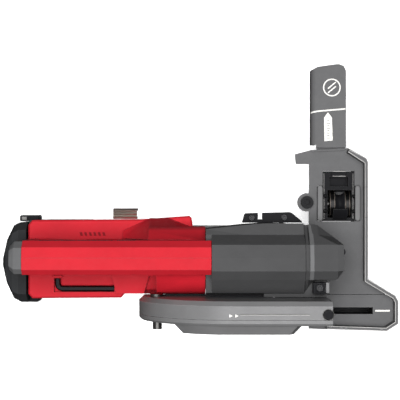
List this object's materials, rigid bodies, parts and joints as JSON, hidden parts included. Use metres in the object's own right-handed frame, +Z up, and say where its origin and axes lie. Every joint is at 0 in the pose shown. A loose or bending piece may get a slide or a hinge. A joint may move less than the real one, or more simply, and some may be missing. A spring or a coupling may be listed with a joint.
{
  "type": "cut-off saw on table stand",
  "caption": "Compact cordless saw with a round blade guard, sliding on two rods towards the fence of a small table stand with a grooved roller and a support arm.",
  "frame": {"origin": "on the ground, below the middle of the bounding box", "axes": "+X from the battery towards the fence, +Y towards the support arm, +Z up"},
  "size_m": [0.402, 0.2714, 0.2068],
  "materials": {
    "black": "moulded",
    "black_steel": "blackened",
    "cell": "sleeved cell",
    "copper": "wound coil",
    "dark": "moulded, fine texture",
    "dark_metal": "powder coated",
    "green": "board",
    "lens": "clear lens",
    "light_metal": "cast, brushed",
    "plate": "cast, grey coated",
    "red": "moulded, satin",
    "rubber": "overmoulded grip",
    "steel": "ground"
  },
  "bodies": {
    "stand": {"table_plate": "plate", "kerf_strip": "plate", "fence_rim": "plate", "stand_base": "dark_metal", "base_pad": "black", "guide_rod_left": "steel", "guide_rod_right": "steel", "rod_end_block": "dark_metal", "support_arm": "plate", "arm_clamp": "black_steel", "roller_bracket": "plate", "roller_axle": "steel", "guide_shoe": "black"},
    "roller": {"roller_core": "steel", "roller_tyre": "black"},
    "clamp": {"clamp_bolt": "black_steel"},
    "head": {"carriage": "light_metal", "lower_housing": "red", "handle_shell_left": "red", "handle_shell_right": "red", "handle_bumper": "rubber", "motor_housing": "red", "gear_cover": "dark", "gear_case": "light_metal", "bearing_plate": "light_metal", "bearing_retainer": "black_steel", "motor_bearing_front": "steel", "motor_bearing_rear": "steel", "spindle_bearing_inner": "steel", "spindle_bearing_outer": "steel", "stator": "copper", "guard_inner": "light_metal", "guard_outer": "light_metal", "guard_stud": "steel", "guard_plug": "black", "side_bracket": "black", "belt_hook": "steel", "front_block": "black", "work_light": "lens", "switch_box": "dark", "circuit_board": "green"},
    "motor": {"rotor": "steel", "fan": "black", "pinion": "steel"},
    "blade_group": {"spindle": "steel", "bevel_gear": "steel", "inner_flange": "steel", "outer_flange": "steel", "blade": "steel", "blade_bolt": "black_steel"},
    "guard": {"lower_guard": "light_metal"},
    "trigger": {"trigger": "black"},
    "lock_off": {"lock_off": "black"},
    "battery": {"battery_shell": "dark", "battery_cap": "rubber", "battery_cells": "cell"},
    "tab_left": {"release_tab_left": "black"},
    "tab_right": {"release_tab_right": "black"},
    "hex_key": {"hex_key": "black_steel"},
    "spindle_lock": {"spindle_lock": "black"}
  },
  "joints": [
    {"name": "head_slide", "type": "slide", "parent": "stand", "child": "head", "axis": [1, 0, 0], "range_m": [0, 0.05]},
    {"name": "roller_spin", "type": "hinge", "parent": "stand", "child": "roller", "pos_m": [0.1417, -0.0064, 0.074], "axis": [1, 0, 0], "continuous": true},
    {"name": "clamp_turn", "type": "hinge", "parent": "stand", "child": "clamp", "pos_m": [0.1085, -0.0048, 0.08], "axis": [0, 0, 1], "range_deg": [-180, 180]},
    {"name": "blade_spin", "type": "hinge", "parent": "head", "child": "blade_group", "pos_m": [0.0373, -0.1149, 0.107], "axis": [0, 1, 0], "continuous": true},
    {"name": "motor_spin", "type": "hinge", "parent": "head", "child": "motor", "pos_m": [0.0373, -0.0611, 0.107], "axis": [1, 0, 0], "continuous": true},
    {"name": "lower_guard_turn", "type": "hinge", "parent": "head", "child": "guard", "pos_m": [0.0373, -0.1149, 0.107], "axis": [0, 1, 0], "range_deg": [0, 90], "stiffness_Nm_per_rad": 0.2, "springref_deg": -45.84},
    {"name": "trigger_pull", "type": "slide", "parent": "head", "child": "trigger", "axis": [0, 0, 1], "range_m": [0, 0.0035], "stiffness_N_per_m": 400, "springref_m": -0.002},
    {"name": "lock_off_press", "type": "slide", "parent": "head", "child": "lock_off", "axis": [0, -1, 0], "range_m": [0, 0.0025], "stiffness_N_per_m": 400, "springref_m": -0.002},
    {"name": "battery_slide", "type": "slide", "parent": "head", "child": "battery", "axis": [-1, 0, 0], "range_m": [0, 0.08]},
    {"name": "tab_left_press", "type": "slide", "parent": "battery", "child": "tab_left", "axis": [0, -1, 0], "range_m": [0, 0.0022], "stiffness_N_per_m": 400, "springref_m": -0.002},
    {"name": "tab_right_press", "type": "slide", "parent": "battery", "child": "tab_right", "axis": [0, 1, 0], "range_m": [0, 0.0022], "stiffness_N_per_m": 400, "springref_m": -0.002},
    {"name": "hex_key_lift", "type": "slide", "parent": "head", "child": "hex_key", "axis": [0, 0, 1], "range_m": [0, 0.03]},
    {"name": "spindle_lock_press", "type": "slide", "parent": "head", "child": "spindle_lock", "axis": [0, -1, 0], "range_m": [0, 0.003], "stiffness_N_per_m": 400, "springref_m": -0.002}
  ],
  "couplings": [
    {"joint": "motor_spin", "follows": "blade_spin", "ratio": -3}
  ]
}
